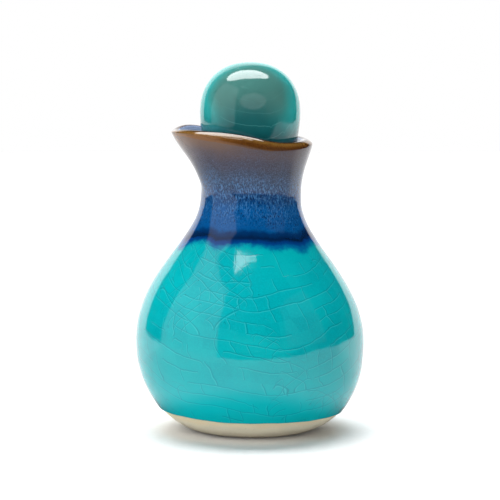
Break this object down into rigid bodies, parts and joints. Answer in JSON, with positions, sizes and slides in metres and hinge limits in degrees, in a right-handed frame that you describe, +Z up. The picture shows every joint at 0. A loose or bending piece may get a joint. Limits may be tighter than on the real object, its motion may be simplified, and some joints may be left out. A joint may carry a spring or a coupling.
{
  "type": "stoppered bottle",
  "caption": "Hand-thrown glazed stoneware bottle with a broad pulled pouring lip and a ball stopper on a cork-sleeved peg.",
  "frame": {"origin": "centre of the foot, on the surface the bottle stands on", "axes": "+Z up along the throwing axis; -X towards the tip of the pouring lip"},
  "size_m": [0.0868, 0.0868, 0.14],
  "materials": {
    "turquoise_glaze": "gloss",
    "stopper_glaze": "gloss",
    "bare_clay": "matte",
    "cork": "matte"
  },
  "bodies": {
    "vessel": {"bottle": "turquoise_glaze"},
    "cork": {"cork_sleeve": "cork"},
    "knob": {"stopper": "stopper_glaze"}
  },
  "joints": [
    {"name": "stopper_lift", "type": "slide", "parent": "vessel", "child": "cork", "axis": [0, 0, 1], "range_m": [0, 0.05]},
    {"name": "stopper_twist", "type": "hinge", "parent": "cork", "child": "knob", "pos_m": [0, 0, 0.09], "axis": [0, 0, 1], "continuous": true}
  ]
}
